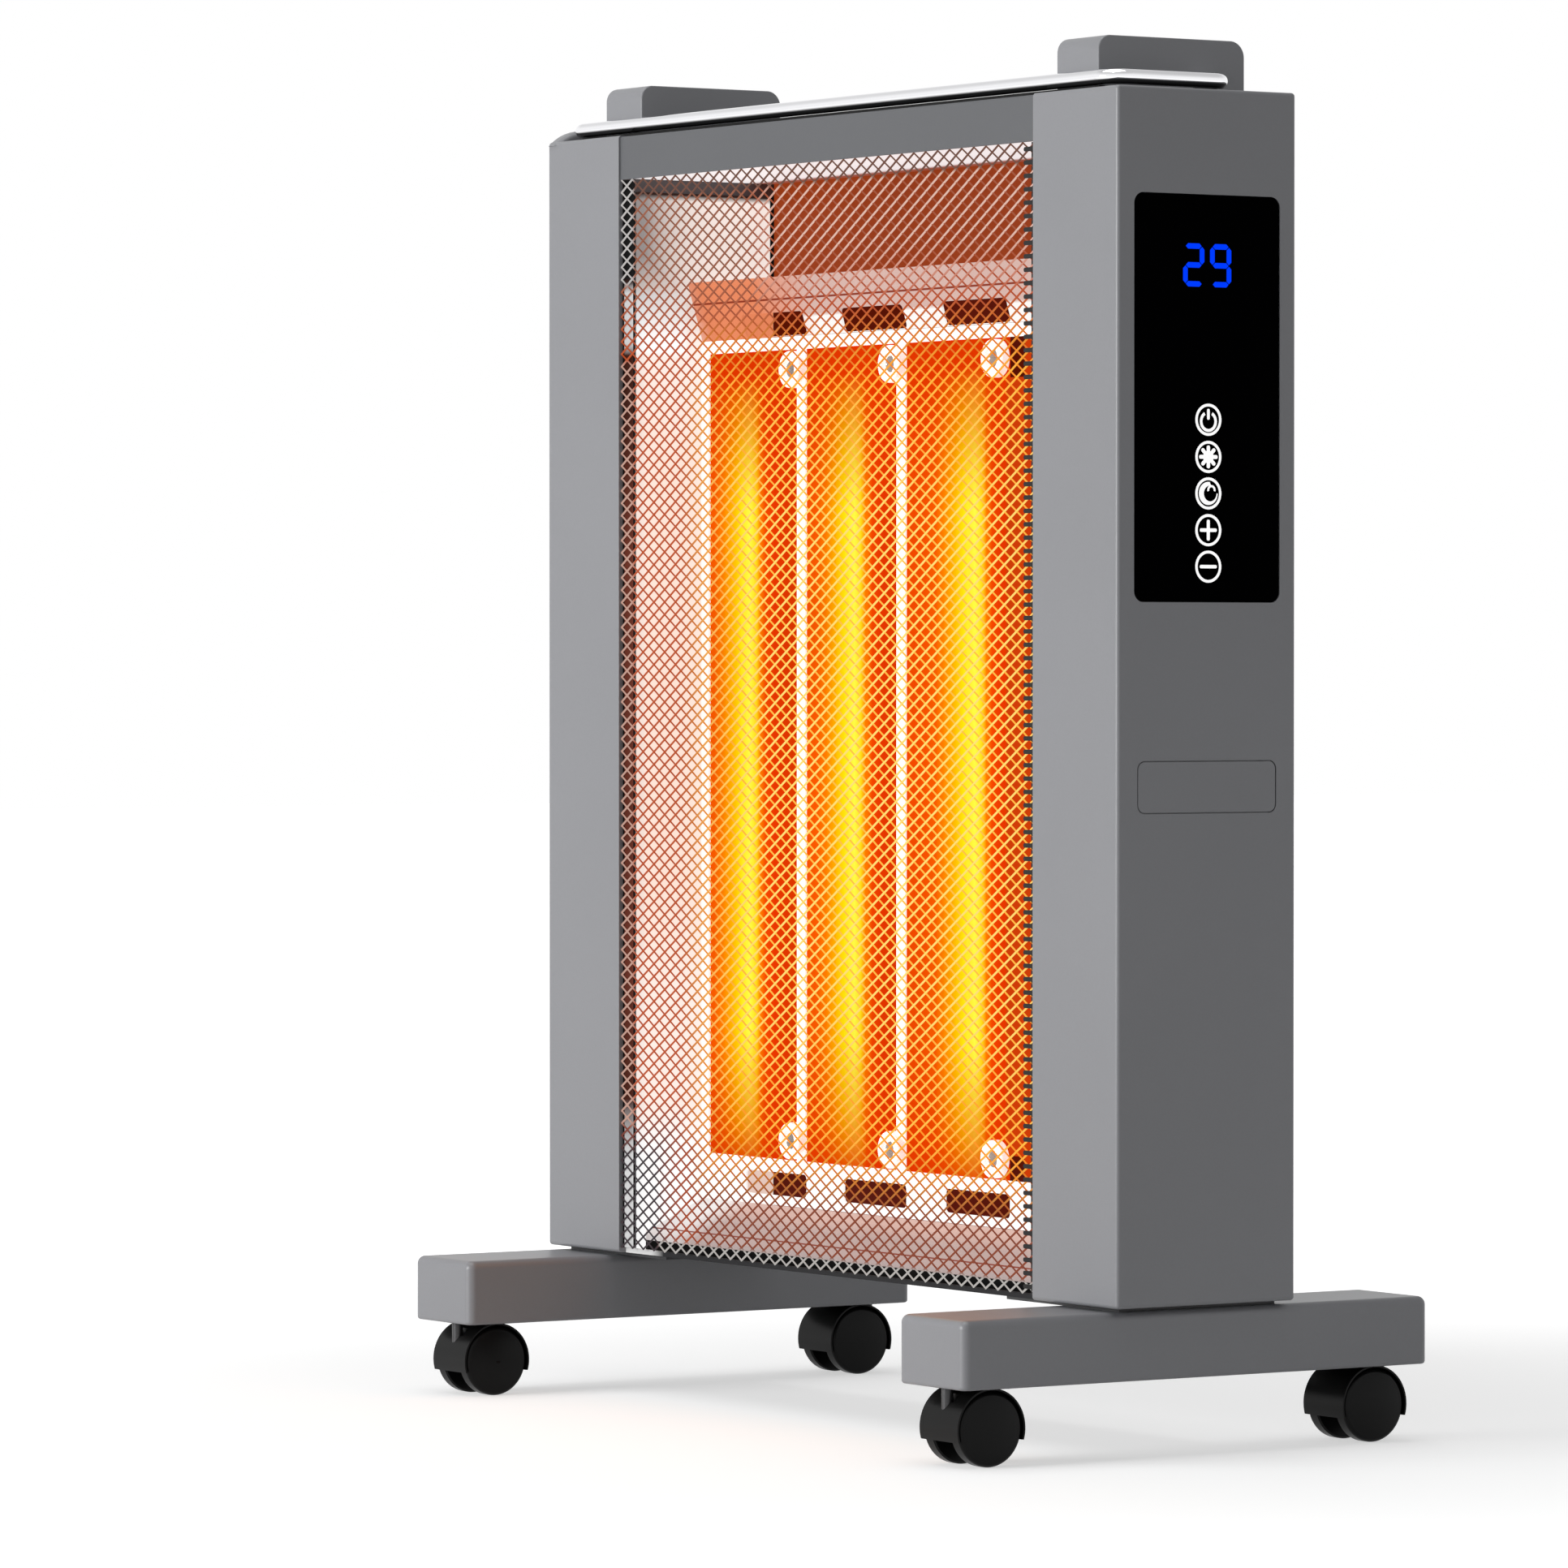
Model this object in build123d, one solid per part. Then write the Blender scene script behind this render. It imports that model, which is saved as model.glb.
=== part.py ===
from build123d import *
import math
import os

os.makedirs("parts", exist_ok=True)

# Electric panel heater. Two upright columns carry a heater box behind an expanded-metal
# grille, stand on two long feet with twin-wheel castors, and hold a folding chrome rail.
# Millimetres. X to the right, Y to the back, Z up, floor at Z 0.

# Columns and the box between them
body_w = 513.0            # over the outer faces of both columns
body_d = 105.2            # depth of columns and box
col_w = 69.8              # width of one column
col_h = 580.0             # height of a column
col_wall = 2.5            # moulded column wall
col_edge_r = 1.8          # rounding of the column's outer edges
inner_plate_t = 1.5       # sheet that closes a column on its inner side
sheet_t = 1.2             # top cover, bottom pan and rear panel
liner_t = 0.8             # bright liner and reflector sheet
fit_gap = 0.3             # gap between neighbouring fixed sheets

# Top cover and bottom pan
header_h = 23.0           # front flange of the top cover, above the grille
header_set = 0.8          # how far that flange stands behind the column fronts
cover_drop = 0.7          # top cover below the column tops
cover_edge_r = 0.9        # rounding of the cover's front edge
rear_flange_h = 12.0      # rear flange of the top cover
pan_lip_h = 2.6           # front lip of the bottom pan
pan_lip_set = 4.0         # how far that lip stands behind the column fronts
pan_rear_h = 10.0         # rear upstand of the bottom pan

# Raised rib on the outer edge of the left column's top
rib_w = 9.5
rib_h = 6.5
rib_set = 0.3             # rib's outer face, inside the column's outer face
rib_nose = 1.2            # rib's nose, behind the column front
rib_sink = 2.2            # how far the rib reaches down into the column's top wall
rib_round = 2.4
rib_arc_r = 27.0          # long rounded nose of the rib
rib_end_gap = 8.0         # rib ends this far before the column's rear face

# Feet
foot_w = 55.0
foot_h = 33.0
foot_len = 275.0
foot_inset = 4.8          # outer face of the foot, inside the column's outer face
foot_wall = 2.5
foot_edge_r = 4.3         # upright and top edges
foot_base_r = 1.6         # bottom edges
foot_plate_t = 2.0        # plate that closes the foot from below
spacer_t = 2.0            # dark spacer between column and foot
spacer_set = 5.0          # spacer edge, inside the column's faces
spacer_reach = 33.0       # spacer tongue that runs on under the box

# Castors
wheel_r = 18.0
wheel_w = 8.3
wheel_round = 2.4         # rounding from tread to outer face
wheel_dome = 1.5          # how far the face bulges at its centre
hood_gap = 0.6            # hood over the tread
hood_wall = 0.9
hood_drop = 5.6           # hood ends this far below the axle
hood_web = 14.3           # web between the wheels
wheel_side_gap = 0.2      # wheel beside the web
hood_top_gap = 0.5        # hood below the foot
axle_r = 2.0
stem_r = 2.8
stem_grip = 20.0          # stem inside the foot
stem_depth = 14.0         # stem inside the hood's web
run_gap = 0.06            # radial running clearance of shafts
castor_trail = 14.4       # axle behind the stem
castor_end = 9.5          # stem axis from the end of the foot
socket_r = 8.0            # boss in the foot round the stem
notch_half = 5.0          # flat notch in the hood round the stem
notch_drop = 6.6          # notch floor below the hood's top

# Rail blocks on the column tops
block_w = 34.5
block_h = 26.6
block_front = 14.0        # behind the column front
block_back = 4.6          # before the column rear
block_front_r = 7.0
block_back_r = 8.0
block_edge_r = 0.7
block_wall = 2.5

# Chrome rail
rail_r = 3.7
rail_gap = 1.6            # rail above the column top
rail_in = 15.0            # arm axis, inside the column's outer face
rail_front = 8.0          # front rod axis, behind the column front
rail_pivot = 74.0         # pivot axis, behind the column front
rail_corner_r = 9.0
rail_end_r = 6.0
rail_pin = 10.0           # length of the pin inside the block
bush_wall = 0.9
rest_d = 3.6              # rubber strip under the front rod
rest_h = 1.3

# Heater box
grille_t = 0.8
grille_set = 1.2          # grille behind the column fronts
grille_cols = 8
grille_rows = 20
grille_bond = 2.0         # metal left between two diamonds
grille_rim = 3.0
liner_front = 10.4        # liner front edge, behind the column fronts
liner_flange = 8.0
edge_flange = 10.5        # slotted strip behind the grille's side edges
back_in = 9.7             # inner back wall, before the column rear
liner_top_gap = 6.0       # liner below the ceiling
frame_depth = 50.0        # element frame, behind the column fronts
frame_t = 1.2
panel_count = 4
panel_margin = 8.45       # first and last window inside the columns
panel_gap = 7.5
panel_low = 50.7          # lower edge of the windows, above the column foot
panel_high = 467.3        # upper edge of the windows
panel_lap = 3.0           # panel behind the window's edge
panel_t = 2.6
frame_rail = 6.7          # plain rail above and below the windows
slot_w = 57.0
slot_h = 12.0
slot_shift = 9.0          # slots end this far right of the window's right edge
slot_end = 1.0            # metal left right of the last slot
tray_low = 27.0           # frame's lower edge
hood_front = 42.0         # front edge of the upper reflector
hood_high = 504.5
strip_w = 27.0
strip_t = 0.8
strip_inset = 18.6        # strip ends inside the window
notch_w = 16.0            # notch for the leads in the last panel's corners
notch_high = 20.0         # its height in the upper corner
notch_low = 12.4          # its height in the lower corner
button_r = 9.5
button_t = 4.8
button_in = 1.0           # button axis, inside the window's right edge
button_up = 10.4          # button axis, inside the window's upper or lower edge
button_shank_r = 3.6
dish_r = 5.6              # dish in the button's face, with the screw at its bottom
dish_deep = 3.2
screw_head_r = 4.2
screw_head_t = 1.4
tray_bend_y = 20.0
tray_bend_z = 12.4
tray_front_z = 9.4

# Rear panel
rear_slot_cols = 4
rear_slot_w = 62.0
rear_slot_h = 5.0
rear_slot_rows = 9
rear_slot_pitch = 14.0
rear_slot_in = 60.0       # first slot row, inside the rear panel's upper and lower edge
rear_screw_r = 3.6
rear_screw_t = 1.8
rear_screw_in = 9.0

# Controls on the right column's outer face
glass_w = 85.6
glass_h = 193.8
glass_low = 335.6
glass_r = 5.0
glass_set = 0.4           # glass below the column's face
glass_fit = 0.25
carrier_lap = 3.0
carrier_t = 2.0
carrier_deep = 22.0
digit_w = 12.4
digit_h = 20.6
digit_pitch = 15.9
digit_drop = 33.5         # middle of the digits, below the glass's upper edge
seg_w = 2.6
seg_gap = 0.35
seg_t = 0.25
board_t = 1.6
board_gap = 6.0           # board behind the glass
plate_w = 81.1
plate_h = 24.3
plate_low = 235.2
plate_t = 1.2
plate_r = 3.8
plate_gap = 0.5

# Fittings inside the columns and the cord gland
gland_r = 7.0
gland_len = 15.0
gland_bore = 3.2
gland_up = 34.0
gland_in = 30.0           # gland axis, inside the column's outer face
gland_nut_r = 9.5
gland_nut_t = 4.0
tip_size = 26.0
tip_h = 34.0
terminal_l = 46.0
terminal_w = 18.0
terminal_h = 15.0
terminal_up = 64.0        # above the column foot
cutout_r = 8.0
cutout_t = 7.0
bolt_r = 3.0
bolt_head_r = 5.5
bolt_head_t = 3.2
bolt_len = 12.0
bolt_in = 16.0            # bolt axis, inside the column's front and rear face

# Levels and planes that follow from the sizes above
glass_t = col_wall - glass_set
hood_r = wheel_r + hood_gap + hood_wall
hood_w = hood_web + 2 * (wheel_w + 2 * wheel_side_gap)
axle_z = wheel_r
foot_z = axle_z + hood_r + hood_top_gap
foot_top = foot_z + foot_h
col_z = foot_top + spacer_t
col_top = col_z + col_h
front = -body_d / 2
rear = body_d / 2
side = body_w / 2
inner = side - col_w
box_half = inner - fit_gap
cover_top = col_top - cover_drop
header_low = col_top - header_h
foot_x = side - foot_inset - foot_w / 2
stem_y = foot_len / 2 - castor_end
rail_z = col_top + rail_gap + rail_r
pivot_y = front + rail_pivot
rail_x = side - rail_in
block_x1 = inner + block_w
frame_y = front + frame_depth
back_y = rear - back_in
liner_half = box_half - liner_t
frame_half = liner_half - fit_gap
grille_y = front + grille_set
win_low = col_z + panel_low
win_high = col_z + panel_high
frame_low = col_z + tray_low
frame_high = win_high + frame_rail
panel_x0 = panel_margin - inner
panel_w = (-2 * panel_x0 - (panel_count - 1) * panel_gap) / panel_count
panel_pitch = panel_w + panel_gap
digit_mid = glass_low + glass_h - digit_drop


def block(x0, x1, y0, y1, z0, z1):
    """Plain box between two corners."""
    mid = ((x0 + x1) / 2, (y0 + y1) / 2, (z0 + z1) / 2)
    return Pos(*mid) * Box(x1 - x0, y1 - y0, z1 - z0)


def rod_x(x0, x1, y, z, r):
    """Round bar along X."""
    return Pos((x0 + x1) / 2, y, z) * (Rot(0, 90, 0) * Cylinder(r, x1 - x0))


def rod_y(x, y0, y1, z, r):
    """Round bar along Y."""
    return Pos(x, (y0 + y1) / 2, z) * (Rot(90, 0, 0) * Cylinder(r, y1 - y0))


def rod_z(x, y, z0, z1, r):
    """Round bar along Z."""
    return Pos(x, y, (z0 + z1) / 2) * Cylinder(r, z1 - z0)


def rounded_x(x0, x1, y_half, z0, z1, r):
    """Plate with rounded corners, thin along X, centred on Y 0."""
    plate = block(x0, x1, -y_half, y_half, z0, z1)
    return fillet(plate.edges().filter_by(Axis.X), r)


def sheet_x(points, half):
    """Folded sheet: an outline in Y and Z, run along X to both sides."""
    outline = Plane.YZ * make_face(Polyline(*points, close=True))
    return extrude(outline, half, both=True)


def save(shape, node):
    export_step(shape, "parts/" + node + ".step")


def mirrored(shape):
    return mirror(shape, about=Plane.YZ)


def window(index):
    """Left and right edge of one panel window."""
    left = panel_x0 + index * panel_pitch
    return left, left + panel_w


def column_body():
    """Right column: a moulded box, open to the inner side."""
    body = block(inner, side, front, rear, col_z, col_top)
    outer_edges = body.edges().filter_by(lambda e: e.center().X > inner + 1)
    body = fillet(outer_edges, col_edge_r)
    room = block(
        inner - 1, side - col_wall, front + col_wall, rear - col_wall,
        col_z + col_wall, col_top - col_wall,
    )
    return body - room


def foot_bolts_xy():
    """Bolts through a column's floor into its foot."""
    reach = body_d / 2 - bolt_in
    return [(foot_x, -reach), (foot_x, reach)]


def right_column():
    body = column_body()
    glass_half = glass_w / 2 + glass_fit
    low = col_z + glass_low - glass_fit
    high = col_z + glass_low + glass_h + glass_fit
    body -= rounded_x(side - 2 * col_wall, side + 1, glass_half, low, high, glass_r + glass_fit)
    plate_half = plate_w / 2 + plate_gap
    low = col_z + plate_low - plate_gap
    high = col_z + plate_low + plate_h + plate_gap
    body -= rounded_x(side - plate_t, side + 1, plate_half, low, high, plate_r + plate_gap)
    hole_x = side - gland_in
    body -= rod_y(hole_x, rear - 2 * col_wall, rear + 1, col_z + gland_up, gland_r)
    for x, y in foot_bolts_xy():
        body -= rod_z(x, y, col_z - 1, col_z + col_wall + 1, bolt_r)
    return body


def rib():
    """Raised rib with long rounded ends, sunk into the column's top."""
    z0 = col_top - rib_sink
    z1 = col_top + rib_h
    mid_z = z1 - rib_arc_r
    run = math.sqrt(rib_arc_r ** 2 - (rib_arc_r - rib_h) ** 2)
    turn = math.acos((rib_arc_r - rib_h - rib_sink) / rib_arc_r)
    y0 = front + rib_nose + run
    y1 = rear - rib_end_gap - run
    reach = rib_arc_r * math.sin(turn)
    half_y = rib_arc_r * math.sin(turn / 2)
    half_z = mid_z + rib_arc_r * math.cos(turn / 2)
    outline = [
        ThreePointArc((y0 - reach, z0), (y0 - half_y, half_z), (y0, z1)),
        Line((y0, z1), (y1, z1)),
        ThreePointArc((y1, z1), (y1 + half_y, half_z), (y1 + reach, z0)),
        Line((y1 + reach, z0), (y0 - reach, z0)),
    ]
    width = rib_w - rib_set
    face = Plane.YZ * make_face(Wire(outline))
    body = Pos(side - rib_w, 0, 0) * extrude(face, width)
    crown = body.edges().filter_by(lambda e: e.center().Z > col_top and not is_along_x(e))
    return fillet(crown, rib_round)


def is_along_x(edge):
    return edge.geom_type == GeomType.LINE and abs(edge.tangent_at(0.5).X) > 0.9


def left_column():
    body = column_body()
    for x, y in foot_bolts_xy():
        body -= rod_z(x, y, col_z - 1, col_z + col_wall + 1, bolt_r)
    return mirrored(body + rib())


def inner_plate():
    """Sheet that closes the right column towards the heater box."""
    gap = 0.2
    return block(
        inner, inner + inner_plate_t, front + col_wall + gap, rear - col_wall - gap,
        col_z + col_wall + gap, col_top - col_wall - gap,
    )


def top_cover():
    y0 = front + header_set
    y1 = rear
    points = [
        (y0, header_low), (y0, cover_top), (y1, cover_top), (y1, col_top - rear_flange_h),
        (y1 - sheet_t, col_top - rear_flange_h), (y1 - sheet_t, cover_top - sheet_t),
        (y0 + sheet_t, cover_top - sheet_t), (y0 + sheet_t, header_low),
    ]
    cover = sheet_x(points, box_half)
    front_edge = cover.edges().filter_by(Axis.X).group_by(Axis.Z)[-1].sort_by(Axis.Y)[0]
    return fillet(front_edge, cover_edge_r)


def bottom_pan():
    y0 = front + pan_lip_set
    y1 = rear - sheet_t - fit_gap
    points = [
        (y0, col_z), (y1, col_z), (y1, col_z + pan_rear_h),
        (y1 - sheet_t, col_z + pan_rear_h), (y1 - sheet_t, col_z + sheet_t),
        (y0 + sheet_t, col_z + sheet_t), (y0 + sheet_t, col_z + pan_lip_h), (y0, col_z + pan_lip_h),
    ]
    return sheet_x(points, box_half)


def rear_panel_z():
    return col_z, col_top - rear_flange_h - fit_gap


def rear_panel():
    low, high = rear_panel_z()
    panel = block(-box_half, box_half, rear - sheet_t, rear, low, high)
    step = 2 * box_half / rear_slot_cols
    cuts = []
    for group_z in (low + rear_slot_in, high - rear_slot_in - (rear_slot_rows - 1) * rear_slot_pitch):
        for row in range(rear_slot_rows):
            for col in range(rear_slot_cols):
                x = -box_half + step * (col + 0.5)
                z = group_z + row * rear_slot_pitch
                slot = SlotOverall(rear_slot_w, rear_slot_h)
                cuts.append(Pos(x, rear, z) * Rot(90, 0, 0) * extrude(slot, 3 * sheet_t, both=True))
    return panel - cuts


def rear_screws():
    low, high = rear_panel_z()
    spots = []
    for z in (low + rear_screw_in, (low + high) / 2, high - rear_screw_in):
        for x in (-box_half + rear_screw_in, box_half - rear_screw_in):
            spots.append((x, z))
    heads = []
    for x, z in spots:
        head = rod_y(x, rear, rear + rear_screw_t, z, rear_screw_r)
        head = fillet(head.edges().filter_by(GeomType.CIRCLE).sort_by(Axis.Y)[-1], 0.8)
        cross = block(x - 2, x + 2, rear + 0.9, rear + 3, z - 0.4, z + 0.4)
        cross += block(x - 0.4, x + 0.4, rear + 0.9, rear + 3, z - 2, z + 2)
        heads.append(head - cross)
    return Compound(children=heads)


def side_liner():
    """Bright side wall of the heater box with its front flange, right side."""
    y0 = front + liner_front
    low = col_z + sheet_t + fit_gap
    high = header_low - liner_top_gap
    wall = block(liner_half, box_half, y0, back_y - fit_gap, low, high)
    return wall + block(box_half - liner_flange, box_half, y0, y0 + liner_t, low, high)


def inner_back():
    low = col_z + sheet_t + fit_gap
    high = header_low + liner_t
    half = liner_half - fit_gap
    return block(-half, half, back_y, back_y + liner_t, low, high)


def ceiling():
    """Bright ceiling of the upper recess, with a rear flange on the inner back wall."""
    y0 = front + header_set + sheet_t + fit_gap
    z0 = header_low + liner_t
    y1 = back_y + liner_t
    plate = block(-box_half, box_half, y0, y1, z0, z0 + liner_t)
    return plate


def slot_cuts(z_mid, y0, y1):
    """Rounded convection slots, one below or above each window."""
    cuts = []
    for index in range(panel_count):
        right = min(window(index)[1] + slot_shift, frame_half - slot_end)
        slot = RectangleRounded(slot_w, slot_h, 2.5)
        body = extrude(slot, (y1 - y0) / 2, both=True)
        cuts.append(Pos(right - slot_w / 2, (y0 + y1) / 2, z_mid) * Rot(90, 0, 0) * body)
    return cuts


def upper_reflector():
    """Shelf and sloping face above the element frame, with convection slots."""
    top = col_z + hood_high
    y_tip = front + hood_front
    y_end = back_y - fit_gap
    low = frame_high + fit_gap
    thick = liner_t
    points = [
        (y_end, top), (y_tip, top), (y_tip, top - 2 * thick), (frame_y + thick, low),
        (frame_y + 2.4 * thick, low), (y_tip + 2.6 * thick, top - thick), (y_end, top - thick),
    ]
    sheet = sheet_x(points, frame_half)
    cuts = slot_cuts(low + slot_h / 2 + 0.4, frame_y - 8, frame_y + 6)
    return sheet - cuts


def lower_tray():
    """Sloping reflector below the element frame, bent up from the pan."""
    thick = liner_t
    y_bend = front + tray_bend_y
    z_bend = col_z + tray_bend_z
    y_tip = front + liner_front + liner_t + fit_gap
    z_tip = col_z + tray_front_z
    low = frame_low - fit_gap
    points = [
        (frame_y + thick, low), (y_bend, z_bend), (y_tip, z_tip), (y_tip, col_z + sheet_t + fit_gap),
        (y_tip + thick, col_z + sheet_t + fit_gap), (y_tip + thick, z_tip - thick),
        (y_bend, z_bend - thick), (frame_y + 2.4 * thick, low - thick),
    ]
    return sheet_x(points, frame_half)


def element_frame():
    """Bright frame with windows for the panels and convection slots below."""
    frame = block(-frame_half, frame_half, frame_y, frame_y + frame_t, frame_low, frame_high)
    joined = [window(0), window(1), (window(2)[0], window(3)[1])]
    for left, right in joined:
        frame -= block(left, right, frame_y - 1, frame_y + frame_t + 1, win_low, win_high)
    slot_mid = win_low - frame_rail - slot_h / 2
    frame -= slot_cuts(slot_mid, frame_y - 2, frame_y + frame_t + 2)
    for x, z in button_spots():
        frame -= rod_y(x, frame_y - 1, frame_y + frame_t + 1, z, button_shank_r + fit_gap)
    return frame


def heater_panel(index):
    """Flat heating panel behind its window. The last two stand edge to edge in one window."""
    left, right = window(index)
    seam = (window(2)[1] + window(3)[0]) / 2
    x0 = seam + fit_gap / 2 if index == 3 else left - panel_lap
    x1 = seam - fit_gap / 2 if index == 2 else right + panel_lap
    y0 = frame_y + frame_t
    y1 = y0 + panel_t
    low = win_low - panel_lap
    high = win_high + panel_lap
    panel = block(x0, x1, y0, y1, low, high)
    if index == 3:
        panel -= block(x0 - 1, x0 + notch_w, y0 - 1, y1 + 1, win_high - notch_high, high + 1)
        panel -= block(x0 - 1, x0 + notch_w, y0 - 1, y1 + 1, low - 1, win_low + notch_low)
    return panel


def heating_strips():
    """Glowing strip on the front of each panel."""
    strips = []
    y1 = frame_y + frame_t
    for index in range(panel_count):
        left, right = window(index)
        mid = (left + right) / 2
        strips.append(block(
            mid - strip_w / 2, mid + strip_w / 2, y1 - strip_t, y1,
            win_low + strip_inset, win_high - strip_inset,
        ))
    return Compound(children=strips)


def button_spots():
    spots = []
    for index in range(panel_count):
        x = min(window(index)[1] - button_in, frame_half - button_r - fit_gap)
        spots.append((x, win_high - button_up))
        spots.append((x, win_low + button_up))
    return spots


def ceramic_buttons():
    """Round ceramic clamps that hold the panels to the frame."""
    buttons = []
    for x, z in button_spots():
        cap = rod_y(x, frame_y - button_t, frame_y, z, button_r)
        cap = fillet(cap.edges().filter_by(GeomType.CIRCLE).sort_by(Axis.Y)[0], 1.2)
        cap -= rod_y(x, frame_y - button_t - 1, frame_y - button_t + dish_deep, z, dish_r)
        shank = rod_y(x, frame_y - 1, frame_y + frame_t, z, button_shank_r)
        buttons.append(cap + shank)
    return Compound(children=buttons)


def button_screws():
    heads = []
    for x, z in button_spots():
        y1 = frame_y - button_t + dish_deep
        head = rod_y(x, y1 - screw_head_t, y1, z, screw_head_r)
        slot = block(x - screw_head_r, x + screw_head_r, y1 - 2, y1 - 0.7, z - 0.5, z + 0.5)
        heads.append(head - slot)
    return Compound(children=heads)


def front_grille():
    """Flat expanded-metal net in one plane: staggered diamonds in a plain rim."""
    z0 = col_z + pan_lip_h + fit_gap
    z1 = header_low - fit_gap
    net = Rectangle(2 * box_half, z1 - z0)
    pitch_x = (2 * box_half - 2 * grille_rim) / grille_cols
    pitch_z = (z1 - z0 - 2 * grille_rim) / grille_rows
    reach_x = pitch_x / 2 - grille_bond
    reach_z = pitch_z / 2 - grille_bond * pitch_z / pitch_x
    diamond = make_face(Polyline(
        (reach_x, 0), (0, reach_z), (-reach_x, 0), (0, -reach_z), close=True,
    ))
    spots = []
    for row in range(grille_rows):
        for col in range(grille_cols):
            spots.append((col + 0.5, row + 0.5))
    for row in range(1, grille_rows):
        for col in range(1, grille_cols):
            spots.append((col, row))
    holes = []
    for col, row in spots:
        x = col * pitch_x - box_half + grille_rim
        z = row * pitch_z - (z1 - z0) / 2 + grille_rim
        holes.append(Pos(x, z) * diamond)
    face = net - holes
    flat = extrude(face, grille_t)
    return Pos(0, grille_y + grille_t, (z0 + z1) / 2) * Rot(90, 0, 0) * flat


def edge_strip():
    """Slotted strip behind the right edge of the grille."""
    z0 = col_z + pan_lip_h + fit_gap
    z1 = header_low - fit_gap
    y0 = grille_y + grille_t + fit_gap
    strip = block(box_half - edge_flange, box_half, y0, y0 + liner_t, z0, z1)
    return strip


def foot_shell():
    """Right foot: moulded box, hollow from below, with two castor sockets."""
    x0 = foot_x - foot_w / 2
    x1 = foot_x + foot_w / 2
    y1 = foot_len / 2
    body = block(x0, x1, -y1, y1, foot_z, foot_top)
    body = fillet(body.edges().filter_by(Axis.Z), foot_edge_r)
    body = fillet(body.edges().group_by(Axis.Z)[-1], foot_edge_r - 0.3)
    body = fillet(body.edges().group_by(Axis.Z)[0], foot_base_r)
    room = block(
        x0 + foot_wall, x1 - foot_wall, -y1 + foot_wall, y1 - foot_wall,
        foot_z - 1, foot_top - foot_wall,
    )
    room = fillet(room.edges().filter_by(Axis.Z), foot_edge_r - foot_wall)
    body -= room
    for y in (-stem_y, stem_y):
        reach = foot_z + stem_grip + 3
        post = rod_z(foot_x, y, foot_z + foot_plate_t, foot_top - 1, socket_r)
        inside = block(x0 + 1, x1 - 1, -y1 + 1, y1 - 1, foot_z, foot_top - 1)
        body += post & inside
        body -= rod_z(foot_x, y, foot_z - 1, reach, stem_r + run_gap)
    for x, y in foot_bolts_xy():
        body += rod_z(x, y, foot_top - bolt_len - 2, foot_top - 1, 2 * bolt_r)
        body -= rod_z(x, y, foot_top - bolt_len, foot_top + 1, bolt_r)
    return body


def foot_plate():
    """Plate that closes the right foot from below, with holes for the stems."""
    gap = 0.2
    x0 = foot_x - foot_w / 2 + foot_wall + gap
    x1 = foot_x + foot_w / 2 - foot_wall - gap
    y1 = foot_len / 2 - foot_wall - gap
    plate = block(x0, x1, -y1, y1, foot_z, foot_z + foot_plate_t)
    plate = fillet(plate.edges().filter_by(Axis.Z), foot_edge_r - foot_wall)
    for y in (-stem_y, stem_y):
        plate -= rod_z(foot_x, y, foot_z - 1, foot_z + foot_plate_t + 1, stem_r + 4 * run_gap)
    return plate


def foot_spacer():
    """Dark spacer between the right column and its foot, with an inner tongue."""
    plate = block(
        inner - spacer_reach, foot_x + foot_w / 2 - spacer_set, front + spacer_set + 3,
        rear - spacer_set, foot_top, col_z,
    )
    for x, y in foot_bolts_xy():
        plate -= rod_z(x, y, foot_top - 1, col_z + 1, bolt_r)
    return plate


def foot_bolts():
    """Bolts from the column floor through the spacer into the foot."""
    bolts = []
    for x, y in foot_bolts_xy():
        for sign in (-1, 1):
            z0 = col_z + col_wall
            shank = rod_z(sign * x, y, z0 - bolt_len, z0, bolt_r)
            head = rod_z(sign * x, y, z0, z0 + bolt_head_t, bolt_head_r)
            socket = RegularPolygon(2.2, 6)
            recess = Pos(sign * x, y, z0 + bolt_head_t - 1.8) * extrude(socket, 3)
            bolts.append(shank + head - recess)
    return Compound(children=bolts)


def castor_hood():
    """Twin-wheel castor body, stem axis on Z and the axle behind it."""
    y = castor_trail
    half = hood_w / 2
    hood = rod_x(-half, half, y, axle_z, hood_r)
    for sign in (-1, 1):
        x0 = sign * hood_web / 2
        x1 = sign * (half + 1)
        hood -= rod_x(min(x0, x1), max(x0, x1), y, axle_z, wheel_r + hood_gap)
    span = 2 * hood_r
    hood -= block(-span, span, y - span, y + span, axle_z - span, axle_z - hood_drop)
    notch_z = axle_z + hood_r - notch_drop
    hood -= block(-notch_half, notch_half, y - span, notch_half - 1, notch_z, notch_z + span)
    hood -= rod_z(0, 0, notch_z - stem_depth, notch_z + 1, stem_r)
    hood -= rod_x(-half, half, y, axle_z, axle_r)
    return hood


def castor_pins():
    """Swivel stem and axle."""
    notch_z = axle_z + hood_r - notch_drop
    stem = rod_z(0, 0, notch_z - stem_depth, foot_z + stem_grip, stem_r)
    stem = chamfer(stem.edges().filter_by(GeomType.CIRCLE).sort_by(Axis.Z)[-1], 0.8)
    reach = hood_web / 2 + wheel_side_gap + wheel_w - 1.8
    axle = rod_x(-reach, reach, castor_trail, axle_z, axle_r)
    return [stem, axle]


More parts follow.
